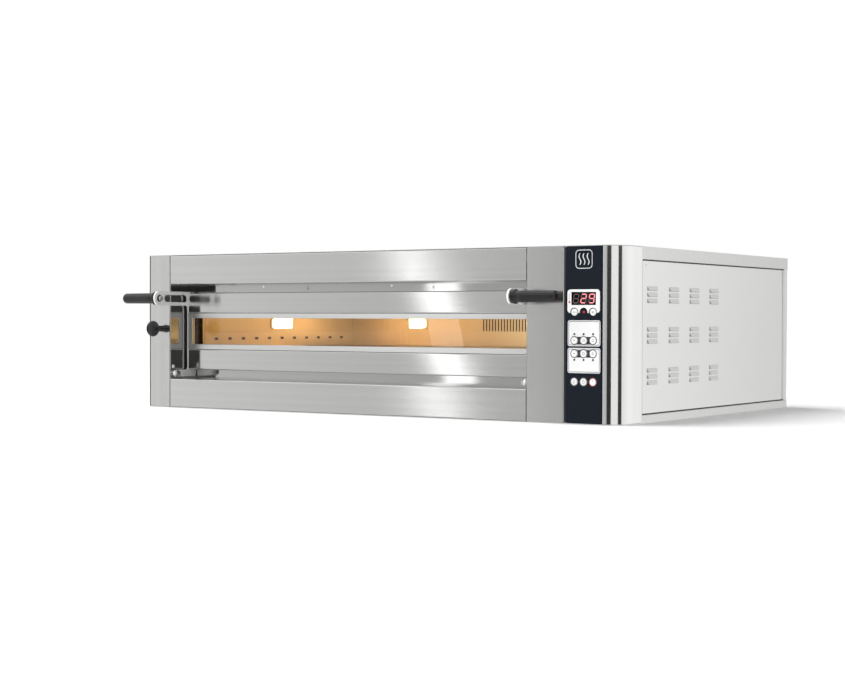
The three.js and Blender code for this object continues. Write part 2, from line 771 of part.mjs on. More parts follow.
for (const [name, column, z] of buttons) {
  add(name, 'whitePlastic', latheY([
    [0, -buttonProud],
    [buttonRadius - 1.2, -buttonProud],
    [buttonRadius, 0.8 - buttonProud],
    [buttonRadius, panelThickness - buttonTravel],
    [buttonStem, panelThickness - buttonTravel],
    [buttonStem, boardFront - switchHeight - buttonTravel - gap],
    [0, boardFront - switchHeight - buttonTravel - gap],
  ], panelCentre + column * buttonPitch, z, 16));
}

const boardHalf = controlWidth / 2 - 5;
const boardZ = [buttons.at(-1)[2] - 20, bezelTop];
const switches = buttons.map(([, column, z]) => box(
  widened([panelCentre + column * buttonPitch, panelCentre + column * buttonPitch], 4),
  [boardFront - switchHeight, boardFront + 1],
  widened([z, z], 4),
));
const standoffs = [-1, 1].flatMap((side) => boardZ.map((z, i) => box(
  widened([panelCentre + side * (boardHalf - 4), panelCentre + side * (boardHalf - 4)], 3),
  [carrierFront + sheet + gap, boardFront + 1],
  i ? [z - 8, z - 2] : [z + 2, z + 8],
)));
add('control_board', 'boardGreen', joined([
  box(widened([panelCentre, panelCentre], boardHalf), [boardFront, boardFront + 1.6], boardZ),
  box(
    widened([panelCentre, panelCentre], displayHalf - 4),
    [carrierFront + sheet + 2, boardFront + 1],
    widened([displayCentre, displayCentre], displayHeight / 2 - 3),
  ),
  ...switches,
  ...standoffs,
]));

// ================================================================ supply
const glandBore = 6;
add('cable_gland', 'grey', latheY([
  [glandBore, rearInside - 12],
  [glandRadius, rearInside - 12],
  [glandRadius, rearInside - 9],
  [glandRadius + 4, rearInside - 9],
  [glandRadius + 4, rearInside - 4],
  [glandRadius, rearInside - 4],
  [glandRadius, rearFace + gap],
  [glandRadius + 5, rearFace + gap],
  [glandRadius + 5, rearFace + 9],
  [glandRadius + 2, rearFace + 16],
  [glandBore, rearFace + 16],
  [glandBore, rearInside - 12],
], glandX, glandZ, 16));

const terminals = [];
const terminalWidth = 16;
for (let pole = 0; pole < 5; pole += 1) {
  const x = glandX - 44 + pole * (terminalWidth + 2);
  terminals.push(box(
    [x, x + terminalWidth],
    [rearInside - 100, rearInside - 62],
    [frontBottom + 4, frontBottom + 34],
  ));
}
add('terminal_block', 'grey', joined([
  box([glandX - 46, glandX + 46], [rearInside - 104, rearInside - 58], [frontBottom, frontBottom + 6]),
  ...terminals,
]));

// ================================================================ door
const panelReturn = doorBack - sheet - gap;
const bandSection = (low, high) => foldedSheet([
  [panelReturn, high],
  [doorFront, high],
  [doorFront, low],
  [panelReturn, low],
]);
const doorX = [doorLeft, doorRight];
const frameZ = [doorBottom + bandHeight, doorTop - bandHeight];
const windowX = widened(doorX, -stileWidth);
const windowZ = [windowBottom, windowTop];
add('door_upper_panel', 'satinSteel', extrudeX(bandSection(frameZ[1] + gap, doorTop), doorX));
add('door_lower_panel', 'satinSteel', extrudeX(bandSection(doorBottom, frameZ[0] - gap), doorX));

const frameY = [doorFront - frameProud, doorFront - frameProud + frameThickness];
add('window_frame', 'polishedSteel', extrudeY(ring([doorX, frameZ], [windowX, windowZ]), frameY));

const glassY = [frameY[1] + gap, frameY[1] + gap + glassThickness];
add('door_glass', 'glass', box(widened(windowX, glassRebate), glassY, widened(windowZ, glassRebate)));

const backFlange = extrudeY(
  ring([widened(windowX, sheet), widened(windowZ, sheet)], [windowX, windowZ]),
  [glassY[1] + gap, doorBack],
);
add('door_back_panel', 'innerSteel', extrudeY(
  ring([doorX, [doorBottom, doorTop]], [windowX, windowZ]),
  [doorBack - sheet, doorBack],
).add(backFlange));

// A side arm: a slotted bar to the handle, a leg down the door's end and a lug on the pivot.
function armShape() {
  const cornerRadius = 8;
  const topEdge = handleZ + barHalf;
  const underBar = handleZ - barHalf;
  const lugTop = pivotZ + lugRadius;
  const lugBottom = pivotZ - lugRadius;
  const shape = new THREE.Shape();
  shape.moveTo(pivotY, lugBottom);
  shape.lineTo(armBack - cornerRadius, lugBottom);
  shape.absarc(armBack - cornerRadius, lugBottom + cornerRadius, cornerRadius, -Math.PI / 2, 0);
  shape.absarc(armBack - cornerRadius, topEdge - cornerRadius, cornerRadius, 0, Math.PI / 2);
  shape.absarc(handleY, handleZ, barHalf, Math.PI / 2, 1.5 * Math.PI);
  shape.absarc(armLegFront - cornerRadius, underBar - cornerRadius, cornerRadius, Math.PI / 2, 0, true);
  shape.absarc(armLegFront - cornerRadius, lugTop + cornerRadius, cornerRadius, 0, -Math.PI / 2, true);
  shape.absarc(pivotY, pivotZ, lugRadius, Math.PI / 2, 1.5 * Math.PI);
  const slot = new THREE.Path();
  slot.absarc(slotBack, handleZ, slotRadius, -Math.PI / 2, Math.PI / 2);
  slot.absarc(slotFront, handleZ, slotRadius, Math.PI / 2, 1.5 * Math.PI);
  shape.holes.push(slot);
  return shape;
}

function addArm(name, side) {
  const outer = (side < 0 ? bayLeft : bayRight) - side * armClearance;
  const inner = outer - side * armThickness;
  const span = [Math.min(inner, outer), Math.max(inner, outer)];
  const along = (a, b) => [Math.min(a, b), Math.max(a, b)];
  const bossFace = outer + side * bossThickness;
  add(`${name}_door_arm`, 'polishedSteel', cut(joined([
    extrudeX(armShape(), span),
    rodX(bossRadius, along(outer - side, bossFace), handleY, handleZ),
  ]), [
    rodX(screwRadius + 0.4, widened(along(inner, bossFace), 1), handleY, handleZ),
    rodX(pivotRadius + pivotClearance, widened(span, 1), pivotY, pivotZ, 32),
  ]));
  add(`${name}_handle`, 'bakelite', latheX([
    [0, screwDepth + 2],
    [screwRadius + gap, screwDepth + 2],
    [screwRadius + gap, 0],
    [flangeRadius - 1, 0],
    [flangeRadius, 1],
    [flangeRadius, flangeThickness - 1],
    [flangeRadius - 1, flangeThickness],
    [handleRadius - 1, flangeThickness + 1],
    [handleRadius, flangeThickness + 14],
    [handleRadius, handleLength - 7],
    [handleRadius - 2, handleLength - 2.5],
    [handleRadius - 6, handleLength - 0.5],
    [0, handleLength],
  ], bossFace + side * gap, handleY, handleZ, side));
  const headInside = inner - side * gap;
  const socket = rodX(3, along(headInside - side * 9, headInside - side * 4), handleY, handleZ, 6);
  add(`${name}_handle_screw`, 'polishedSteel', cut(joined([
    rodX(6.5, along(headInside, headInside - side * 8), handleY, handleZ, 16),
    rodX(screwRadius, along(headInside - side, bossFace + side * screwDepth), handleY, handleZ, 16),
  ]), [socket]));

  // The pivot bolt is fixed to the bay wall: head, plain shank, shoulder, thread and nut.
  const wall = outer + side * armClearance;
  add(`${name}_pivot_bolt`, 'polishedSteel', joined([
    rodX(9.5, along(headInside, headInside - side * 6), pivotY, pivotZ, 6),
    rodX(pivotRadius, along(headInside - side, wall + side * 12), pivotY, pivotZ, 32),
    rodX(pivotRadius + 3, along(outer + side * gap, wall - side * gap), pivotY, pivotZ, 16),
    rodX(9.5, along(wall + side * (sheet + gap), wall + side * (sheet + 7)), pivotY, pivotZ, 6),
  ]));
}

addArm('left', -1);
addArm('right', 1);

export default oven;
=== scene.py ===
import json
from math import cos, pi, radians, sin

import bmesh
import bpy
from mathutils import Matrix, Vector

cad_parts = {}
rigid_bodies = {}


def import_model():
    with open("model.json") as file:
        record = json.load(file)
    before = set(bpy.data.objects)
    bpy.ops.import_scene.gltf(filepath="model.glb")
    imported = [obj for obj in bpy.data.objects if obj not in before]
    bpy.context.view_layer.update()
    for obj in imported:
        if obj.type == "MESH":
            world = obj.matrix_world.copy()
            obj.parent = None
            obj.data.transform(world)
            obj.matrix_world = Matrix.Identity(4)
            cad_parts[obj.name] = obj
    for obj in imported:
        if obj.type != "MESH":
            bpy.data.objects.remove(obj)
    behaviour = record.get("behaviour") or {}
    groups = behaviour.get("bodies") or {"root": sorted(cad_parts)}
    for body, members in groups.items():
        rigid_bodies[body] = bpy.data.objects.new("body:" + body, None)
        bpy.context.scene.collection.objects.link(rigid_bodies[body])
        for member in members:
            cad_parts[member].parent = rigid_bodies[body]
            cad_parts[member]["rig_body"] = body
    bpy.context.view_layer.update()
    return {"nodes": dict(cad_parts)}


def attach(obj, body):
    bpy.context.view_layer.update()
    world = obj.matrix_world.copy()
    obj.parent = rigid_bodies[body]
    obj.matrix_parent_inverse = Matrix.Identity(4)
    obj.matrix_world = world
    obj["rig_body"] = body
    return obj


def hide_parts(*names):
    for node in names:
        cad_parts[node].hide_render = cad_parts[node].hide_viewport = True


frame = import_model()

scene = bpy.context.scene

# ---------------------------------------------------------------------------------------------
# The studio. The oven stands on a pale floor in an even white room, and is seen from the right of
# its middle at the height of the door. A tall strip of light puts the bright band on the front,
# and a softbox near the right corner puts the bright band on the rounded post.
lens = 71.43
eye = Vector((2.4807, -4.0407, 0.2494))
turn = radians(33.19)
tilt = radians(0.805)
roll = radians(0.17)

camera_data = bpy.data.cameras.new("camera")
camera_data.lens = lens
camera_data.clip_start = 0.05
camera = bpy.data.objects.new("camera", camera_data)
camera.matrix_world = (
    Matrix.Translation(eye)
    @ Matrix.Rotation(turn, 4, "Z")
    @ Matrix.Rotation(pi / 2 - tilt, 4, "X")
    @ Matrix.Rotation(roll, 4, "Z")
)
scene.collection.objects.link(camera)
scene.camera = camera
scene.view_settings.view_transform = "Standard"


def add_node(tree, kind, values=(), **settings):
    """A shader node with its settings, its socket values and the sockets linked into it."""
    made = tree.nodes.new(kind)
    for setting, value in settings.items():
        setattr(made, setting, value)
    for socket, value in dict(values).items():
        if isinstance(value, bpy.types.NodeSocket):
            tree.links.new(value, made.inputs[socket])
        else:
            made.inputs[socket].default_value = value
    return made


def calculate(tree, operation, *values):
    """The result of a Math node on numbers or sockets."""
    made = add_node(tree, "ShaderNodeMath", dict(enumerate(values)), operation=operation)
    return made.outputs[0]


def ramp(tree, value, stops):
    """A grey ramp through (place, brightness) stops."""
    made = add_node(tree, "ShaderNodeValToRGB", {"Fac": value})
    elements = made.color_ramp.elements
    elements[0].position, elements[1].position = stops[0][0], stops[-1][0]
    for place, _ in stops[1:-1]:
        elements.new(place)
    for element, (_, grey) in zip(elements, stops):
        element.color = (grey, grey, grey, 1)
    return made.outputs[0]


def compass(degrees):
    """A direction in plan, counted from the front of the oven towards its right, as a share of a turn."""
    return degrees / 360 + 0.5


room = bpy.data.worlds.new("studio_room")
room.use_nodes = True
scene.world = room
tree = room.node_tree
tree.nodes.clear()
outward = add_node(tree, "ShaderNodeTexCoord").outputs["Generated"]
direction = add_node(tree, "ShaderNodeSeparateXYZ", {0: outward})
ahead = calculate(tree, "MULTIPLY", direction.outputs["Y"], -1.0)
around = calculate(tree, "ARCTAN2", direction.outputs["X"], ahead)
around = calculate(tree, "MULTIPLY_ADD", around, 1 / (2 * pi), 0.5)
# How bright the walls are round the room, and where dark screens stand against them.
walls = ramp(tree, around, [
    (compass(-180), 0.72),
    (compass(-140), 0.85),
    (compass(-80), 1.0),
    (compass(-46), 0.86),
    (compass(-42), 0.80),
    (compass(-37), 0.67),
    (compass(-31), 0.55),
    (compass(-24), 0.53),
    (compass(0), 0.70),
    (compass(60), 0.80),
    (compass(140), 1.0),
    (compass(153), 1.02),
    (compass(155.5), 0.92),
    (compass(158.5), 0.62),
    (compass(161), 0.50),
    (compass(170), 0.55),
    (compass(180), 0.72),
])
screens = ramp(tree, around, [
    (compass(-142), 0.0),
    (compass(-138), 1.0),
    (compass(-62), 1.0),
    (compass(-59), 0.0),
    (compass(-21.5), 0.0),
    (compass(-20.5), 1.0),
    (compass(80), 1.0),
    (compass(82), 0.0),
])
height_of_screens = ramp(tree, calculate(tree, "MULTIPLY_ADD", direction.outputs["Z"], 0.5, 0.5), [
    (0.40, 0.0),
    (0.42, 1.0),
    (0.56, 1.0),
    (0.59, 0.0),
])
screened = calculate(tree, "MULTIPLY", screens, height_of_screens)
darkening = calculate(tree, "MULTIPLY", screened, 0.95)
wall_light = calculate(tree, "MULTIPLY", walls, calculate(tree, "SUBTRACT", 1.0, darkening))
ceiling = calculate(tree, "SMOOTH_MIN", calculate(tree, "MAXIMUM", direction.outputs["Z"], 0.0), 1.0, 0.1)
room_light = calculate(tree, "MULTIPLY_ADD", ceiling, 0.5, wall_light)
rays = add_node(tree, "ShaderNodeLightPath").outputs
dimming = calculate(tree, "MULTIPLY_ADD", rays["Is Diffuse Ray"], -0.87, 1.0)
room_light = calculate(tree, "MULTIPLY", room_light, dimming)
lit = add_node(tree, "ShaderNodeBackground", {"Color": (1, 1, 1, 1), "Strength": room_light})
white = add_node(tree, "ShaderNodeBackground", {"Color": (1, 1, 1, 1), "Strength": 1.0})
mixed = add_node(
    tree, "ShaderNodeMixShader", {0: rays["Is Camera Ray"], 1: lit.outputs[0], 2: white.outputs[0]}
)
add_node(tree, "ShaderNodeOutputWorld", {"Surface": mixed.outputs[0]})


def soft_light(name, place, aim, width, height, brightness, colour=(1, 1, 1), lean=0.0):
    """A rectangular light that faces a point, as bright as a surface of that brightness."""
    data = bpy.data.lights.new(name, "AREA")
    data.shape = "RECTANGLE"
    data.size, data.size_y = width, height
    data.energy = brightness * pi * width * height
    data.color = colour
    lamp = bpy.data.objects.new(name, data)
    facing = (Vector(aim) - Vector(place)).to_track_quat("-Z", "Y").to_matrix().to_4x4()
    lamp.matrix_world = Matrix.Translation(place) @ facing @ Matrix.Rotation(radians(lean), 4, "Z")
    lamp.visible_camera = False
    scene.collection.objects.link(lamp)
    return lamp


soft_light("front_strip", (-1.182, -2.610, 0.25), (-0.3, -0.5, 0.22), 0.13, 1.7, 1.45, lean=10.7)
soft_light("corner_softbox", (1.327, -1.523, 0.11), (0.70, -0.50, 0.06), 1.04, 1.02, 0.85)
soft_light("overhead_softbox", (-0.4, 0.6, 3.2), (0, 0, 0), 3.2, 3.2, 0.35)
front_fill = soft_light("front_fill", (1.2, -4.6, 1.3), (0, -0.5, 0.2), 3.0, 2.0, 1.9)
front_fill.visible_glossy = False


def sky_light(name, towards, strength, spread_angle):
    """A broad soft light from far away, which mirrors don't show."""
    data = bpy.data.lights.new(name, "SUN")
    data.energy = strength
    data.angle = radians(spread_angle)
    lamp = bpy.data.objects.new(name, data)
    lamp.matrix_world = Vector(towards).to_track_quat("Z", "Y").to_matrix().to_4x4()
    lamp.visible_glossy = False
    scene.collection.objects.link(lamp)


sky_light("left_window", (-0.66, -0.20, 0.66), 4.3, 70)
sky_light("roof_window", (-0.30, -0.05, 0.95), 0.6, 80)

# The floor is white paper, which the steel doesn't mirror.
floor_mesh = bmesh.new()
bmesh.ops.create_grid(floor_mesh, x_segments=1, y_segments=1, size=30)
floor_data = bpy.data.meshes.new("studio_floor")
floor_mesh.to_mesh(floor_data)
floor_mesh.free()
floor = bpy.data.objects.new("studio_floor", floor_data)
floor.visible_glossy = False
scene.collection.objects.link(floor)
paper = bpy.data.materials.new("white_paper")
paper.use_nodes = True
paper_shader = paper.node_tree.nodes["Principled BSDF"].inputs
paper_shader["Base Color"].default_value = (0.92, 0.92, 0.92, 1)
paper_shader["Roughness"].default_value = 0.9
floor_data.materials.append(paper)

# ---------------------------------------------------------------------------------------------
# The case. Folded stainless sheet 1.5 mm thick, brushed along its length: a base pan on rails, a
# top cover, the fascias and pillars round the door bay, side panels with louvres and a rear panel.
# The pieces are bent, spot-welded and screwed together, and their cut edges are broken smooth.


def new_group(name, inputs, outputs):
    """An empty shader group with its named sockets, its way in and its way out."""
    group = bpy.data.node_groups.new(name, "ShaderNodeTree")
    for socket, kind, value in inputs:
        made = group.interface.new_socket(socket, in_out="INPUT", socket_type=kind)
        made.default_value = value
    for socket, kind in outputs:
        group.interface.new_socket(socket, in_out="OUTPUT", socket_type=kind)
    return group, group.nodes.new("NodeGroupInput").outputs, group.nodes.new("NodeGroupOutput").inputs


def vector(tree, operation, *values):
    """The result of a Vector Math node on vectors or sockets."""
    return add_node(tree, "ShaderNodeVectorMath", dict(enumerate(values)), operation=operation).outputs[0]


# Fine parallel scratches from the brushing belt, with a slower change from one stroke to the next.
brushing, given, result = new_group(
    "brushing",
    [("Stretch", "NodeSocketVector", (6, 900, 900)), ("Seed", "NodeSocketFloat", 0.0)],
    [("Scratches", "NodeSocketFloat"), ("Strokes", "NodeSocketFloat")],
)
place = add_node(brushing, "ShaderNodeTexCoord").outputs["Object"]
pulled = vector(brushing, "MULTIPLY", place, given["Stretch"])
shifted = vector(brushing, "ADD", pulled, given["Seed"])
scratches = add_node(
    brushing, "ShaderNodeTexNoise", {"Vector": shifted, "Scale": 1.0, "Detail": 3.0, "Roughness": 0.6}
)
strokes = add_node(brushing, "ShaderNodeTexNoise", {"Vector": shifted, "Scale": 0.07, "Detail": 2.0})
brushing.links.new(scratches.outputs["Fac"], result["Scratches"])
brushing.links.new(strokes.outputs["Fac"], result["Strokes"])

# Where an edge or corner has been rubbed bright, and the rounded direction of the surface there.
edge_wear, given, result = new_group(
    "edge_wear",
    [("Reach", "NodeSocketFloat", 0.001), ("Patchiness", "NodeSocketFloat", 0.5)],
    [("Worn", "NodeSocketFloat"), ("Rounded", "NodeSocketVector")],
)
rounded = add_node(edge_wear, "ShaderNodeBevel", {"Radius": given["Reach"]}, samples=3)
flat = add_node(edge_wear, "ShaderNodeNewGeometry")
likeness = add_node(
    edge_wear,
    "ShaderNodeVectorMath",
    {0: rounded.outputs[0], 1: flat.outputs["Normal"]},
    operation="DOT_PRODUCT",
)
bend = calculate(edge_wear, "SUBTRACT", 1.0, likeness.outputs["Value"])
bend = calculate(edge_wear, "MULTIPLY", bend, 8.0)
place = add_node(edge_wear, "ShaderNodeTexCoord").outputs["Object"]
patches = add_node(edge_wear, "ShaderNodeTexNoise", {"Vector": place, "Scale": 60.0, "Detail": 3.0})
spared = calculate(edge_wear, "MULTIPLY", patches.outputs["Fac"], given["Patchiness"])
worn = add_node(edge_wear, "ShaderNodeMath", {0: bend, 1: spared}, operation="SUBTRACT", use_clamp=True)
edge_wear.links.new(worn.outputs[0], result["Worn"])
edge_wear.links.new(rounded.outputs[0], result["Rounded"])

# Faint cloudy marks from hands and cloths.
handling, given, result = new_group(
    "handling",
    [("Size", "NodeSocketFloat", 9.0), ("Seed", "NodeSocketFloat", 0.0)],
    [("Marks", "NodeSocketFloat")],
)
place = add_node(handling, "ShaderNodeTexCoord").outputs["Object"]
shifted = vector(handling, "ADD", place, given["Seed"])
cloud = add_node(
    handling,
    "ShaderNodeTexNoise",
    {"Vector": shifted, "Scale": given["Size"], "Detail": 4.0, "Distortion": 0.6},
)
handling.links.new(cloud.outputs["Fac"], result["Marks"])


def use_group(tree, group, values=()):
    """Places a shader group in a material with its own values."""
    made = tree.nodes.new("ShaderNodeGroup")
    made.node_tree = group
    for socket, value in dict(values).items():
        if isinstance(value, bpy.types.NodeSocket):
            tree.links.new(value, made.inputs[socket])
        else:
            made.inputs[socket].default_value = value
    return made.outputs


def blend_colours(tree, share, first, second):
    """One colour going over to another by a mask."""
    made = tree.nodes.new("ShaderNodeMix")
    made.data_type = "RGBA"
    for socket, value in zip((made.inputs[0], made.inputs[6], made.inputs[7]), (share, first, second)):
        if isinstance(value, bpy.types.NodeSocket):
            tree.links.new(value, socket)
        else:
            socket.default_value = value if isinstance(value, float) else (*value, 1)
    return made.outputs[2]


def spread(tree, value, low, high):
    """A mask from 0 to 1 as a number from low to high."""
    return add_node(tree, "ShaderNodeMapRange", {"Value": value, "To Min": low, "To Max": high}).outputs[0]


def new_material(name):
    """A material with its node tree and its Principled shader."""
    material = bpy.data.materials.new(name)
    material.use_nodes = True
    return material, material.node_tree, material.node_tree.nodes["Principled BSDF"].inputs


# How many scratches a metre holds along each axis, for each direction of brushing.
BRUSHED_ALONG = {"x": (5, 1400, 1400), "y": (1400, 5, 1400), "z": (1400, 1400, 5)}


def brushed_steel(
    name,
    grain,
    tone,
    roughness,
    relief=0.06,
    seed=0.0,
    lengthwise=0.9,
    tint=(1.0, 1.0, 0.985),
    streaks=0.055,
):
    """Stainless sheet brushed along one axis: it mirrors sharply along the grain and blurs across it."""
    material, tree, shader = new_material(name)
    grain_lines = use_group(tree, brushing, {"Stretch": BRUSHED_ALONG[grain], "Seed": seed})
    wear = use_group(tree, edge_wear, {"Reach": 0.0008, "Patchiness": 0.4})
    marks = use_group(tree, handling, {"Seed": seed})["Marks"]
    dull = tuple(tone * (1 - streaks) * part for part in tint)
    clean = tuple(tone * (1 + streaks) * part for part in tint)
    rubbed = tuple(0.86 * part for part in tint)
    sheet = blend_colours(tree, grain_lines["Strokes"], dull, clean)
    tree.links.new(blend_colours(tree, wear["Worn"], sheet, rubbed), shader["Base Color"])
    unevenness = streaks * 2.7
    smoothest, roughest = roughness * (1 - unevenness), roughness * (1 + unevenness)
    streaky = spread(tree, grain_lines["Scratches"], smoothest, roughest)
    cloudy = spread(tree, marks, streaks * -0.6, streaks * 0.6)
    tree.links.new(calculate(tree, "ADD", streaky, cloudy), shader["Roughness"])
    bump = add_node(
        tree,
        "ShaderNodeBump",
        {
            "Strength": relief,
            "Distance": 0.0002,
            "Height": grain_lines["Scratches"],
            "Normal": wear["Rounded"],
        },
    )
    tree.links.new(bump.outputs[0], shader["Normal"])
    shader["Metallic"].default_value = 1.0
    shader["Anisotropic"].default_value = lengthwise
    facing = add_node(tree, "ShaderNodeNewGeometry").outputs["Normal"]
    along = (0.0, 0.01, 1.0)
    if grain != "z":
        along = vector(tree, "ADD", vector(tree, "CROSS_PRODUCT", (0, 0, 1), facing), (0.01, 0, 0))
    across = vector(tree, "NORMALIZE", vector(tree, "CROSS_PRODUCT", facing, along))
    tree.links.new(across, shader["Tangent"])
    return material


def finish_nodes(material, *nodes):
    """Gives CAD nodes their finish."""
    for name in nodes:
        frame["nodes"][name].material_slots[0].material = material


def new_piece(name, mesh, material, body, stands_for=(), sharp=32):
    """Makes a bmesh a finished object that rides on a body and stands for CAD nodes."""
    for edge in mesh.edges:
        edge.smooth = len(edge.link_faces) == 2 and edge.calc_face_angle() < radians(sharp)
    for face in mesh.faces:
        face.smooth = True
    data = bpy.data.meshes.new(name)
    mesh.to_mesh(data)
    mesh.free()
    data.materials.append(material)
    piece = bpy.data.objects.new(name, data)
    scene.collection.objects.link(piece)
    even = piece.modifiers.new("even_shading", "WEIGHTED_NORMAL")
    even.keep_sharp = True
    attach(piece, body)
    if stands_for:
        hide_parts(*stands_for)
    return piece


def merged_copy(node):
    """A copy of a CAD node's mesh with its triangles merged into whole faces."""
    mesh = bmesh.new()
    mesh.from_mesh(frame["nodes"][node].data)
    bmesh.ops.remove_doubles(mesh, verts=mesh.verts, dist=2e-6)
    bmesh.ops.dissolve_limit(mesh, angle_limit=radians(0.6), verts=mesh.verts, edges=mesh.edges)
    return mesh


def break_edges(mesh, radius, segments=2, sharp=40):
    """Rounds every sharp edge of a mesh."""
    edges = [e for e in mesh.edges if len(e.link_faces) == 2 and e.calc_face_angle() > radians(sharp)]
    bmesh.ops.bevel(
        mesh,
        geom=edges,
        offset=radius,
        segments=segments,
        profile=0.5,
        affect="EDGES",
        clamp_overlap=True,
        material=-1,
    )


def softened(node, material, radius, segments=2, sharp=40):
    """The visible piece for a CAD node: the same shape with its edges broken smooth."""
    mesh = merged_copy(node)
    break_edges(mesh, radius, segments, sharp)
    body = frame["nodes"][node]["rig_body"]
    return new_piece(node + "_finished", mesh, material, body, [node])


def plain_material(
    name, colour, roughness, metallic=0.0, mottle=0.08, size=40.0, relief=0.1, grain_depth=0.0003
):
    """A moulded, cast or fired surface with a little mottling and a fine relief."""
    material, tree, shader = new_material(name)
    marks = use_group(tree, handling, {"Size": size})["Marks"]
    wear = use_group(tree, edge_wear, {"Reach": 0.0006, "Patchiness": 0.6})
    darker = tuple(c * (1 - mottle) for c in colour)
    lighter = tuple(min(1.0, c * (1 + mottle)) for c in colour)
    tree.links.new(blend_colours(tree, marks, darker, lighter), shader["Base Color"])
    tree.links.new(spread(tree, marks, roughness * 0.85, min(1.0, roughness * 1.15)), shader["Roughness"])
    place = add_node(tree, "ShaderNodeTexCoord").outputs["Object"]
    grain = add_node(tree, "ShaderNodeTexNoise", {"Vector": place, "Scale": size * 30, "Detail": 2.0})
    bump = add_node(
        tree,
        "ShaderNodeBump",
        {
            "Strength": relief,
            "Distance": grain_depth,
            "Height": grain.outputs["Fac"],
            "Normal": wear["Rounded"],
        },
    )
    tree.links.new(bump.outputs[0], shader["Normal"])
    shader["Metallic"].default_value = metallic
    return material


case_front = brushed_steel("case_front_steel", "x", tone=0.68, roughness=0.20)
case_upright = brushed_steel("case_upright_steel", "z", tone=0.70, roughness=0.22, seed=3.0)
case_side = brushed_steel(
    "case_side_steel", "y", tone=0.86, roughness=0.22, relief=0.0, seed=5.0, lengthwise=0.0, streaks=0.006
)
# A darker, rougher copy of the side steel for the louvres' sloping faces; the darker tone is painted shade.
louvre_shade_steel = brushed_steel(
    "pressed_louvre_painted_shade_steel", "y", tone=0.66, roughness=0.30, relief=0.0, seed=6.0, lengthwise=0.0, streaks=0.02
)
# A near-black copy of the steel for the bend at the left pillar's outer edge: painted shade.
bend_painted_shade_steel = brushed_steel(
    "left_bend_painted_shade_steel", "z", tone=0.10, roughness=0.16, relief=0.0, seed=8.0, lengthwise=0.0
)
# A lighter copy of the upright steel for the left pillar: painted light.
left_pillar_painted_light = brushed_steel("left_upright_painted_light_steel", "z", tone=0.78, roughness=0.20, seed=4.0)
case_flat = brushed_steel("case_flat_steel", "x", tone=0.76, roughness=0.30, seed=7.0, lengthwise=0.6)
post_steel = brushed_steel(
    "post_steel", "z", tone=0.86, roughness=0.09, relief=0.01, seed=9.0, lengthwise=0.6
)
# A darker copy of the upright steel for the walls of the door bay: painted shade in the bay.
bay_wall_shade_steel = brushed_steel(
    "bay_wall_painted_shade_steel", "z", tone=0.40, roughness=0.07, relief=0.01, seed=10.0, lengthwise=0.4
)

front = -0.5265
folded_edge = 0.0006
bay_left, bay_right = -0.6555, 0.480
for name in ("upper_fascia", "lower_fascia"):
    softened(name, case_front, folded_edge)

# The pillars' inner returns are the walls of the door bay and mirror it; their steel is darker than the
# rest of the case as painted shade in the bay. The bend at the left pillar's outer edge is near-black:
# painted shade.
left_bend = -0.7283
for name, upright, bay_side in (
    ("left_pillar", left_pillar_painted_light, bay_left),
    ("right_pillar", case_upright, bay_right),
):
    mesh = merged_copy(name)
    break_edges(mesh, folded_edge)
    if name == "left_pillar":
        whole = mesh.verts[:] + mesh.edges[:] + mesh.faces[:]
        bmesh.ops.bisect_plane(mesh, geom=whole, plane_co=(left_bend, 0, 0), plane_no=(1, 0, 0))
    for face in mesh.faces:
        middle = face.calc_center_median()
        face.material_index = int(abs(middle.x - bay_side) < 0.0016 and abs(face.normal.x) > 0.9)
        if middle.x < left_bend and middle.y < front + 0.006:
            face.material_index = 2
    pillar = new_piece(name + "_finished", mesh, upright, "oven", [name])
    pillar.data.materials.append(bay_wall_shade_steel)
    pillar.data.materials.append(bend_painted_shade_steel)
softened("corner_post", post_steel, folded_edge)
finish_nodes(case_side, "rear_panel")

# The side panels, whose louvres are pressed outwards and have a rougher, steeper face, darker as painted
# shade.
panel_face = 0.7308
for side in ("left", "right"):
    mesh = merged_copy(side + "_side_panel")
    for face in mesh.faces:
        sloping = 0.3 < abs(face.normal.x) < 0.985
        face.material_index = int(sloping and abs(face.calc_center_median().x) > panel_face)
    panel = new_piece(side + "_side_finished", mesh, case_side, "oven", [side + "_side_panel"])
    panel.data.materials.append(louvre_shade_steel)


def strip(mesh, low, high):
    """Adds a straight bar between two corners to a mesh."""
    size = Vector(high) - Vector(low)
    centre = (Vector(high) + Vector(low)) / 2
    bmesh.ops.create_cube(mesh, size=1, matrix=Matrix.Translation(centre) @ Matrix.Diagonal((*size, 1)))


# Black strips in the joints round each side panel, painted shade in the seams, and a hem that closes it at
# the back.
seam_shade_strips = bmesh.new()
hems = bmesh.new()
joint_front, joint_rear = front + 0.1105, front + 1.026
joint_foot, joint_head = 0.0205, 0.3918
shade_strip_face, hem_face = 0.7340, 0.7348
small_edge = 0.0004
for outward in (-1, 1):
    near, far = sorted((outward * panel_face, outward * shade_strip_face))
    strip(seam_shade_strips, (near, joint_front, 0.3890), (far, joint_rear, joint_head))
    strip(seam_shade_strips, (near, joint_front, joint_foot), (far, joint_rear, 0.0230))
    strip(seam_shade_strips, (near, joint_front, 0.0230), (far, front + 0.1128, 0.3890))
    near, far = sorted((outward * panel_face, outward * hem_face))
    strip(hems, (near, front + 1.0255, joint_foot), (far, front + 1.0278, 0.3915))
break_edges(seam_shade_strips, small_edge)
break_edges(hems, small_edge)
# One black material for the gasket and for the strips of painted shade in the seams.
seal_and_seam_shade = plain_material("black_seal_and_seam_shade", (0.015, 0.015, 0.016), 0.6)
new_piece("seam_shadow_strips", seam_shade_strips, seal_and_seam_shade, "oven")
new_piece("rear_hems", hems, case_side, "oven")

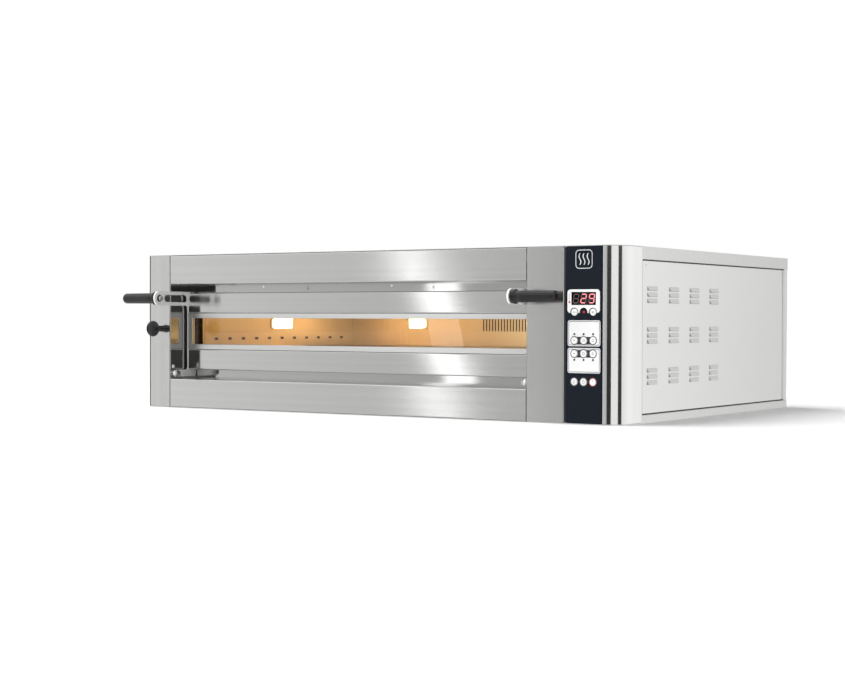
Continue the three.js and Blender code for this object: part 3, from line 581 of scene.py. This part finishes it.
# The black gasket between the control panel and the right pillar.
gasket = bmesh.new()
strip(gasket, (0.5834, front + 0.0012, 0.004), (0.5876, front + 0.0040, 0.4195))
break_edges(gasket, folded_edge)
new_piece("panel_seam_gasket", gasket, seal_and_seam_shade, "oven")
finish_nodes(case_flat, "top_cover", "base_pan")


def screw_head(mesh, place, outward, radius, rise):
    """Adds a domed head with a round socket to a mesh."""
    facing = Matrix.Translation(place) @ Vector(outward).to_track_quat("Z", "Y").to_matrix().to_4x4()
    ring = bmesh.ops.create_circle(mesh, cap_ends=True, segments=16, radius=radius, matrix=facing)
    top = ring["verts"][0].link_faces[0]
    top.normal_update()
    if top.normal.dot(Vector(outward)) < 0:
        top.normal_flip()
    top = bmesh.ops.extrude_discrete_faces(mesh, faces=[top])["faces"][0]
    bmesh.ops.translate(mesh, verts=top.verts, vec=Vector(outward) * rise * 0.3)
    for share, step in ((0.14, 0.3), (0.22, 0.28), (0.24, 0.12), (0.04, -0.5)):
        bmesh.ops.inset_individual(mesh, faces=[top], thickness=radius * share, depth=rise * step)


# The case's screws: two over the door, one on each bay wall, and two at the top of each side panel.
plated_steel = brushed_steel(
    "plated_screw_steel", "z", tone=0.82, roughness=0.16, relief=0.0, seed=15.0, lengthwise=0.0
)
heads = bmesh.new()
for x in (-0.326, 0.088):
    screw_head(heads, (x, front + 0.0002, 0.332), (0, -1, 0), 0.0032, 0.0018)
for bay_side, outward in ((bay_left, 1), (bay_right, -1)):
    screw_head(heads, (bay_side, front + 0.0124, 0.114), (outward, 0, 0), 0.0055, 0.0032)
for outward in (-1, 1):
    for back in (0.135, 1.012):
        screw_head(heads, (outward * 0.7307, front + back, 0.379), (outward, 0, 0), 0.0030, 0.0018)
new_piece("case_screws", heads, plated_steel, "oven", sharp=50)

# ---------------------------------------------------------------------------------------------
# The baking chamber. A box of bright stainless sheet behind the door bay, with two refractory
# deck stones on a low floor, sheathed heating elements over and under them, and two oven lamps
# behind tempered lenses. Mineral wool fills the case round it.
mouth_steel = brushed_steel("mouth_steel", "x", tone=0.56, roughness=0.08, relief=0.02, seed=11.0)
softened("mouth_frame", mouth_steel, 0.0003)
# The chamber's steel is tinted amber: painted warm lamplight.
chamber_lamplit_steel = brushed_steel(
    "chamber_lamplit_steel",
    "z",
    tone=0.82,
    roughness=0.40,
    relief=0.25,
    seed=13.0,
    lengthwise=0.5,
    tint=(1.0, 0.82, 0.50),
)
finish_nodes(chamber_lamplit_steel, "chamber_roof", "chamber_floor", "damper_rod")
# Sooty steel for the vapour duct and the damper plate; the same dark finish serves below as painted shade.
soot_and_shade = plain_material("sooty_and_shaded_steel", (0.10, 0.055, 0.025), 0.6, metallic=0.6, mottle=0.3)
finish_nodes(soot_and_shade, "vapour_duct", "damper_plate")

# The side walls' skirts have a row of slots, whose floors are painted dark: painted shade. The rear wall has
# none.
pocket_z = 0.190
for name, pocket_x in (
    ("chamber_left_wall", -0.62375),
    ("chamber_right_wall", 0.44825),
    ("chamber_rear_wall", None),
):
    mesh = merged_copy(name)
    break_edges(mesh, 0.0010, 2, 60)
    for face in mesh.faces:
        middle = face.calc_center_median()
        in_row = pocket_x is not None and abs(middle.z - pocket_z) < 0.006
        face.material_index = int(in_row and abs(middle.x - pocket_x) < 0.0035)
    wall = new_piece(name + "_finished", mesh, chamber_lamplit_steel, "oven", [name])
    wall.data.materials.append(soot_and_shade)

finish_nodes(
    plain_material("deck_stone", (0.52, 0.42, 0.31), 0.9, mottle=0.2, relief=0.4),
    "left_deck_stone",
    "right_deck_stone",
)
finish_nodes(
    plain_material("element_sheath", (0.09, 0.08, 0.075), 0.5, metallic=1.0),
    "upper_heating_element",
    "lower_heating_element",
)
finish_nodes(
    plain_material("mineral_wool", (0.70, 0.64, 0.45), 1.0, mottle=0.2, relief=0.8, grain_depth=0.002),
    "top_insulation",
    "bottom_insulation",
    "side_insulation",
)

lamp_glow, tree, shader = new_material("lamp_lens")
ribs = add_node(tree, "ShaderNodeTexWave", {"Scale": 60.0, "Distortion": 0.4}, bands_direction="Z")
warm_light = blend_colours(tree, ribs.outputs["Fac"], (1.0, 0.80, 0.52), (1.0, 0.90, 0.70))
tree.links.new(warm_light, shader["Emission Color"])
shader["Base Color"].default_value = (1, 0.95, 0.85, 1)
shader["Emission Strength"].default_value = 2.4
tree.links.new(spread(tree, ribs.outputs["Fac"], 0.25, 0.4), shader["Roughness"])


def plaque(left, right, bottom, top, radius, points=6):
    """A rectangle with rounded corners, as a closed outline."""
    outline = []
    centres = (
        (right - radius, top - radius),
        (left + radius, top - radius),
        (left + radius, bottom + radius),
        (right - radius, bottom + radius),
    )
    for turns, (x, z) in enumerate(centres):
        for step in range(points + 1):
            angle = (turns + step / points) * pi / 2
            outline.append((x + radius * cos(angle), z + radius * sin(angle)))
    return outline


def flat_shape(name, outlines, thickness, plane, material, body, stands_for=(), rounding=0.0):
    """A flat piece from closed outlines in a plane, where an outline inside another is a hole."""
    curve = bpy.data.curves.new(name, "CURVE")
    curve.dimensions = "2D"
    curve.fill_mode = "BOTH"
    curve.extrude = thickness / 2
    for outline in outlines:
        spline = curve.splines.new("POLY")
        spline.points.add(len(outline) - 1)
        for point, (x, z) in zip(spline.points, outline):
            point.co = (x, z, 0, 1)
        spline.use_cyclic_u = True
    drawn = bpy.data.objects.new(name, curve)
    flat = bpy.data.meshes.new_from_object(drawn)
    bpy.data.objects.remove(drawn)
    bpy.data.curves.remove(curve)
    mesh = bmesh.new()
    mesh.from_mesh(flat)
    bpy.data.meshes.remove(flat)
    bmesh.ops.remove_doubles(mesh, verts=mesh.verts, dist=1e-7)
    bmesh.ops.dissolve_limit(mesh, angle_limit=radians(0.5), verts=mesh.verts, edges=mesh.edges)
    bmesh.ops.transform(mesh, matrix=plane, verts=mesh.verts)
    bmesh.ops.recalc_face_normals(mesh, faces=mesh.faces)
    if rounding:
        break_edges(mesh, rounding, 2, 60)
    return new_piece(name, mesh, material, body, stands_for)


def front_plane(y):
    """The plane of artwork that faces the front at a depth."""
    return Matrix.Translation((0, y, 0)) @ Matrix.Rotation(pi / 2, 4, "X")


# The left lamp lies in the left wall and the rear lamp in the rear wall, each under a steel rim.
left_wall_plane = Matrix.Translation((-0.62775 + 0.0013, 0, 0)) @ Matrix(
    ((0, 0, 1, 0), (1, 0, 0, 0), (0, 1, 0, 0), (0, 0, 0, 1))
)
rear_wall_plane = front_plane(front + 0.836 - 0.0013)
for name, plane, low, high in (
    ("left_lamp", left_wall_plane, front + 0.4128, front + 0.5188),
    ("rear_lamp", rear_wall_plane, -0.4115, -0.3435),
):
    rim = plaque(low, high, 0.2155, 0.2505, 0.010)
    opening = plaque(low + 0.0055, high - 0.0055, 0.2195, 0.2475, 0.008)
    flat_shape(name + "_rim", [rim, opening], 0.002, plane, chamber_lamplit_steel, "oven", [name], rounding=0.0006)
    glow = plaque(low + 0.005, high - 0.005, 0.219, 0.248, 0.008)
    flat_shape(name + "_lens", [glow], 0.001, plane, lamp_glow, "oven")
amber = (1.0, 0.66, 0.36)
left_lamp_place = (-0.620, front + 0.4658, 0.233)
rear_lamp_place = (-0.3775, 0.303, 0.233)
soft_light("left_lamp_light", left_lamp_place, (0, -0.05, 0.20), 0.09, 0.028, 42.0, amber)
soft_light("rear_lamp_light", rear_lamp_place, (-0.30, 0, 0.20), 0.055, 0.028, 26.0, amber)
soft_light("chamber_glow", (0.12, 0.0, 0.300), (0.12, 0.12, 0.0), 0.55, 0.45, 4.0, (1.0, 0.98, 0.92))

# ---------------------------------------------------------------------------------------------
# The door. Two folded bands of brushed stainless over and under a long window of tempered glass in
# a satin frame, hung on a pair of laser-cut arms that turn on bolts at the foot of the bay.
door_steel = brushed_steel("door_steel", "x", tone=0.68, roughness=0.14, seed=17.0)
frame_steel = brushed_steel("window_frame_steel", "x", tone=0.82, roughness=0.34, seed=19.0, lengthwise=0.5)
# The arms' steel has a lighter tone and is only half metallic, so that it reads brighter: painted light.
arm_painted_light_steel = brushed_steel(
    "arm_painted_light_steel",
    "z",
    tone=0.95,
    roughness=0.48,
    relief=0.02,
    seed=23.0,
    lengthwise=0.0,
    streaks=0.02,
)
arm_painted_light_steel.node_tree.nodes["Principled BSDF"].inputs["Metallic"].default_value = 0.5
spacer = plain_material("black_spacer", (0.006, 0.006, 0.0065), 0.35)
for name in ("door_upper_panel", "door_lower_panel"):
    softened(name, door_steel, folded_edge)
softened("window_frame", frame_steel, folded_edge)

# Each arm has a black spacer outside its bar, between it and the grip.
for name, outer_face, outward in (("left_door_arm", -0.6495, -1), ("right_door_arm", 0.4740, 1)):
    mesh = merged_copy(name)
    break_edges(mesh, folded_edge)
    for face in mesh.faces:
        face.material_index = int((face.calc_center_median().x - outer_face) * outward > 0.0003)
    arm = new_piece(name + "_finished", mesh, arm_painted_light_steel, "door", [name])
    arm.data.materials.append(spacer)
# The door's back panel is given the dark sooty finish: painted shade behind the glass.
finish_nodes(soot_and_shade, "door_back_panel")
for name in ("left_pivot_bolt", "right_pivot_bolt", "left_handle_screw", "right_handle_screw"):
    softened(name, plated_steel, small_edge)

door_pane, tree, shader = new_material("door_pane")
shader["Base Color"].default_value = (0.97, 0.88, 0.74, 1)
shader["Roughness"].default_value = 0.01
shader["IOR"].default_value = 1.5
shader["Transmission Weight"].default_value = 1.0
finish_nodes(door_pane, "door_glass")

bakelite = plain_material("bakelite", (0.004, 0.004, 0.0045), 0.16, relief=0.03)
finish_nodes(bakelite, "cable_gland")


def turned(profile, axis, place, steps=48):
    """A turned part from (distance along the axis, radius) points."""
    mesh = bmesh.new()
    verts = [mesh.verts.new((distance, 0, radius)) for distance, radius in profile]
    edges = [mesh.edges.new(pair) for pair in zip(verts, verts[1:])]
    bmesh.ops.spin(
        mesh, geom=verts + edges, cent=(0, 0, 0), axis=(1, 0, 0), angle=2 * pi, steps=steps, use_merge=True
    )
    bmesh.ops.remove_doubles(mesh, verts=mesh.verts, dist=1e-6)
    bmesh.ops.recalc_face_normals(mesh, faces=mesh.faces)
    facing = Vector(axis).to_track_quat("X", "Z").to_matrix().to_4x4()
    bmesh.ops.transform(mesh, matrix=Matrix.Translation(place) @ facing, verts=mesh.verts)
    return mesh


# A grip: a flange against the arm's boss, then a barrel with sixteen shallow flutes and a round end.
handle_y, handle_z = front - 0.057, 0.3025
flutes = 16
flute_depth = 0.0009
grip_flange = [(0.0, 0.0), (0.0, 0.0165), (0.0008, 0.0178), (0.0060, 0.0178), (0.0072, 0.0168)]
grip_neck = [(0.0078, 0.0145), (0.0095, 0.0132), (0.013, 0.0134), (0.0160, 0.0142)]
grip_barrel = [(0.025, 0.0145), (0.060, 0.0143), (0.098, 0.0141), (0.1085, 0.0140)]
grip_end = [(0.1115, 0.0134), (0.1132, 0.0122), (0.1139, 0.0104), (0.1140, 0.0060), (0.1140, 0.0)]
grip_outline = grip_flange + grip_neck + grip_barrel + grip_end
for side, root, outward in (("left", -0.6548, -1), ("right", 0.4793, 1)):
    mesh = turned(grip_outline, (outward, 0, 0), (root, handle_y, handle_z), flutes * 6)
    for vert in mesh.verts:
        along = abs(vert.co.x - root)
        if 0.015 < along < 0.106:
            arm = Vector((0, vert.co.y - handle_y, vert.co.z - handle_z))
            angle = Vector((arm.y, arm.z)).angle_signed(Vector((1, 0)))
            depth = flute_depth * max(0.0, cos(flutes * angle)) ** 0.7
            vert.co -= arm.normalized() * depth
    new_piece(side + "_grip", mesh, bakelite, "door", [side + "_handle"], sharp=45)

# A black washer round the head of each handle's screw, on the inner face of the arm.
washer_back = [(0.0017, 0.0068), (0.0002, 0.0068)]
washer_outline = [(0.0002, 0.0068), (0.0002, 0.0094), (0.0006, 0.0098), (0.0014, 0.0096), (0.0017, 0.0090)]
washer_outline += washer_back
washers = bmesh.new()
for inner_face, inward in ((-0.6445, 1), (0.4690, -1)):
    washer = turned(washer_outline, (inward, 0, 0), (inner_face, handle_y, handle_z), 32)
    part = bpy.data.meshes.new("washer")
    washer.to_mesh(part)
    washer.free()
    washers.from_mesh(part)
    bpy.data.meshes.remove(part)
new_piece("handle_washers", washers, bakelite, "door")

# The damper knob: a mushroom on a short tapering neck.
knob_neck = [(-0.0297, 0.0043), (-0.0297, 0.0095), (-0.003, 0.0095), (0.0, 0.0098), (0.018, 0.0086)]
knob_underside = [(0.034, 0.0078), (0.039, 0.0084), (0.043, 0.0110), (0.0455, 0.0155), (0.0475, 0.0192)]
knob_rim = [(0.0500, 0.0212), (0.0530, 0.0218), (0.0558, 0.0208), (0.0578, 0.0180)]
knob_crown = [(0.0588, 0.0130), (0.0592, 0.0070), (0.0593, 0.0)]
knob = turned(knob_neck + knob_underside + knob_rim + knob_crown, (0, -1, 0), (-0.672, front, 0.219))
new_piece("damper_mushroom", knob, bakelite, "damper", ["damper_knob"], sharp=45)

# ---------------------------------------------------------------------------------------------
# The control panel. A dark blue glossy plate, a white display surround and two white printed fields,
# with round white push buttons standing through them and the circuit board behind.
panel_blue = plain_material("panel_blue", (0.0042, 0.0075, 0.0135), 0.10, relief=0.0)
panel_blue.node_tree.nodes["Principled BSDF"].inputs["Specular IOR Level"].default_value = 0.25
softened("control_panel", panel_blue, small_edge)
white_plastic = plain_material("white_plastic", (0.80, 0.80, 0.79), 0.35, mottle=0.02)
softened("display_bezel", white_plastic, small_edge)
display_black = plain_material("display_black", (0.004, 0.004, 0.004), 0.08, relief=0.0)
finish_nodes(display_black, "display_window")
finish_nodes(plain_material("red_lens", (0.6, 0.02, 0.02), 0.15, relief=0.0), "status_light")
finish_nodes(plain_material("board_green", (0.02, 0.1, 0.04), 0.4), "control_board")
finish_nodes(plain_material("terminal_grey", (0.2, 0.2, 0.2), 0.5), "terminal_block")
ink_white = plain_material("ink_white", (0.76, 0.76, 0.76), 0.45, mottle=0.03)
ink_grey = plain_material("ink_grey", (0.13, 0.13, 0.14), 0.45, mottle=0.05)
ink_black = plain_material("ink_black", (0.012, 0.013, 0.016), 0.35)
ink_red = plain_material("ink_red", (0.62, 0.03, 0.03), 0.4)
ink_faint = plain_material("ink_faint", (0.20, 0.20, 0.21), 0.45)


def disc(x, z, radius, points=32):
    """A circle as a closed outline."""
    angles = [2 * pi * i / points for i in range(points)]
    return [(x + radius * cos(angle), z + radius * sin(angle)) for angle in angles]


def bar(x, z, length, width, angle=0.0):
    """A bar with pointed ends, as a closed outline."""
    half, tip = width / 2, length / 2 - width / 2
    corners = [(-length / 2, 0), (-tip, -half), (tip, -half), (length / 2, 0), (tip, half), (-tip, half)]
    return [(x + a * cos(angle) - b * sin(angle), z + a * sin(angle) + b * cos(angle)) for a, b in corners]


def ring(x, z, outer, inner):
    """A flat ring as two outlines."""
    return [disc(x, z, outer), disc(x, z, inner)]


def printed(name, outlines, material, layer=0, body="oven", surface=front):
    """Artwork on a front surface; a higher layer lies over a lower one."""
    flat_shape(name, outlines, 0.00008, front_plane(surface - 0.00002 - 0.00007 * layer), material, body)


# Two white fields, each with a thin line inside its edge, a black strip round its row of buttons,
# and a dot for each button. They are cut out round the buttons.
button_columns = (0.61105, 0.63575, 0.66045)
hole_radius = 0.0095
field_left, field_right = 0.5934, 0.6797
for name, bottom, top, button_row, dot_row in (
    ("upper_field", 0.185, 0.246, 0.1985, 0.2135),
    ("lower_field", 0.1214, 0.1808, 0.1675, 0.1527),
):
    holes = [disc(x, button_row, hole_radius) for x in button_columns]
    printed(name, [plaque(field_left, field_right, bottom, top, 0.005)] + holes, ink_white)
    frame_lines = [
        plaque(field_left + 0.002, field_right - 0.002, bottom + 0.002, top - 0.002, 0.0035),
        plaque(field_left + 0.0034, field_right - 0.0034, bottom + 0.0034, top - 0.0034, 0.003),
    ]
    printed(name + "_line", frame_lines, ink_grey, 1)
    printed(name + "_dots", [disc(x, dot_row, 0.0027) for x in button_columns], ink_black, 1)
    black_strip = [plaque(0.6040, 0.6675, button_row - 0.0086, button_row + 0.0086, 0.0084)]
    printed(name + "_strip", black_strip + holes, ink_black, 1)
    rings = [circle for x in button_columns for circle in ring(x, button_row, 0.0106, 0.0096)]
    printed(name + "_rings", rings, ink_faint, 2)
bottom_row = 0.1007
bottom_rings = [circle for x in button_columns[:2] for circle in ring(x, bottom_row, 0.0104, 0.0096)]
printed("bottom_rings", bottom_rings, ink_faint)
printed("power_ring", ring(button_columns[2], bottom_row, 0.0104, 0.0096), ink_red)

# A heat emblem: three waves in a rounded square.
emblem = [plaque(0.6135, 0.6580, 0.3680, 0.4125, 0.009), plaque(0.6150, 0.6565, 0.3695, 0.4110, 0.0077)]
printed("emblem_frame", emblem, ink_white)
wave_swing, wave_foot, wave_height, half_stroke = 0.0026, 0.377, 0.027, 0.0011
for index, x in enumerate((0.6250, 0.6358, 0.6466)):
    path = [(x + wave_swing * sin(2 * pi * i / 16), wave_foot + wave_height * i / 16) for i in range(17)]
    wave = [(a - half_stroke, b) for a, b in path] + [(a + half_stroke, b) for a, b in reversed(path)]
    printed("emblem_wave_%d" % index, [wave], ink_white)

# The display: a thermometer and three seven-segment digits, the first one unlit.
display_face = min(corner[1] for corner in frame["nodes"]["display_window"].bound_box)


def glowing(name, colour, strength):
    """A digit segment with a slightly uneven glow; the glow of an unlit segment is painted light."""
    material, tree, shader = new_material(name)
    marks = use_group(tree, handling, {"Size": 300.0})["Marks"]
    darker = tuple(0.85 * part for part in colour)
    tree.links.new(blend_colours(tree, marks, darker, colour), shader["Emission Color"])
    tree.links.new(spread(tree, marks, 0.3, 0.4), shader["Roughness"])
    shader["Base Color"].default_value = (*darker, 1)
    shader["Emission Strength"].default_value = strength
    return material


lit_segment = glowing("lit_segment", (0.95, 0.24, 0.27), 1.0)
# Unlit segments glow faintly too, which is painted light.
unlit_segment_painted_glow = glowing("unlit_segment_painted_glow", (0.085, 0.06, 0.062), 0.6)
digit_z = 0.2975
slant = radians(82)
segments = {
    "a": (0.0013, 0.0102, 0.0108, 0.0),
    "b": (0.0070, 0.0052, 0.0095, slant),
    "c": (0.0056, -0.0052, 0.0095, slant),
    "d": (-0.0013, -0.0102, 0.0108, 0.0),
    "e": (-0.0070, -0.0052, 0.0095, slant),
    "f": (-0.0056, 0.0052, 0.0095, slant),
    "g": (0.0, 0.0, 0.0108, 0.0),
}
for digit, (x, pattern) in enumerate(((0.6155, ""), (0.6355, "abged"), (0.6570, "abcdfg"))):
    for segment, (across, up, length, angle) in segments.items():
        outline = bar(x + across, digit_z + up, length, 0.0022, angle)
        material = lit_segment if segment in pattern else unlit_segment_painted_glow
        printed("digit_%d_%s" % (digit, segment), [outline], material, surface=display_face)

# A small thermometer beside the digits, on the surround.
thermometer = [plaque(0.5968, 0.5992, 0.2885, 0.3085, 0.0012), plaque(0.5973, 0.5987, 0.2890, 0.3080, 0.0007)]
bezel_face = min(corner[1] for corner in frame["nodes"]["display_bezel"].bound_box)
printed("thermometer", thermometer, ink_grey, surface=bezel_face)
printed("thermometer_bulb", [disc(0.598, 0.2888, 0.0026)], ink_red, 1, surface=bezel_face)

# The push buttons, slightly dished at the rim, each with its symbol.
minus = bar(0, 0, 0.007, 0.0014)
plus_arms = [bar(0, 0.0023, 0.003, 0.0014, pi / 2), bar(0, -0.0023, 0.003, 0.0014, pi / 2)]
one_bar = [bar(0, 0, 0.006, 0.0013)]
two_bars = [bar(0, 0.002, 0.006, 0.0013), bar(0, -0.002, 0.006, 0.0013)]
off_ring = ring(0, 0, 0.0034, 0.0025)
symbols = {
    "temperature_down_button": [minus],
    "temperature_up_button": [minus] + plus_arms,
    "top_heat_less_button": one_bar,
    "top_heat_off_button": off_ring,
    "top_heat_more_button": two_bars,
    "bottom_heat_less_button": one_bar,
    "bottom_heat_off_button": off_ring,
    "bottom_heat_more_button": two_bars,
    "lamp_button": ring(0, 0.0006, 0.0030, 0.0022) + [bar(0, -0.0042, 0.003, 0.0011)],
    "timer_button": ring(0, 0, 0.0038, 0.0030) + [bar(0.0008, 0.0008, 0.0030, 0.0008, pi / 4)],
    "power_button": [bar(0, 0.0030, 0.0042, 0.0011, pi / 2)],
}
for name, outlines in symbols.items():
    corners = frame["nodes"][name].bound_box
    centre_x = sum(corner[0] for corner in corners) / 8
    centre_z = sum(corner[2] for corner in corners) / 8
    face_y = min(corner[1] for corner in corners)
    softened(name, white_plastic, 0.0007, 3)
    placed = [[(x + centre_x, z + centre_z) for x, z in outline] for outline in outlines]
    printed(name + "_symbol", placed, ink_grey, body=name, surface=face_y)
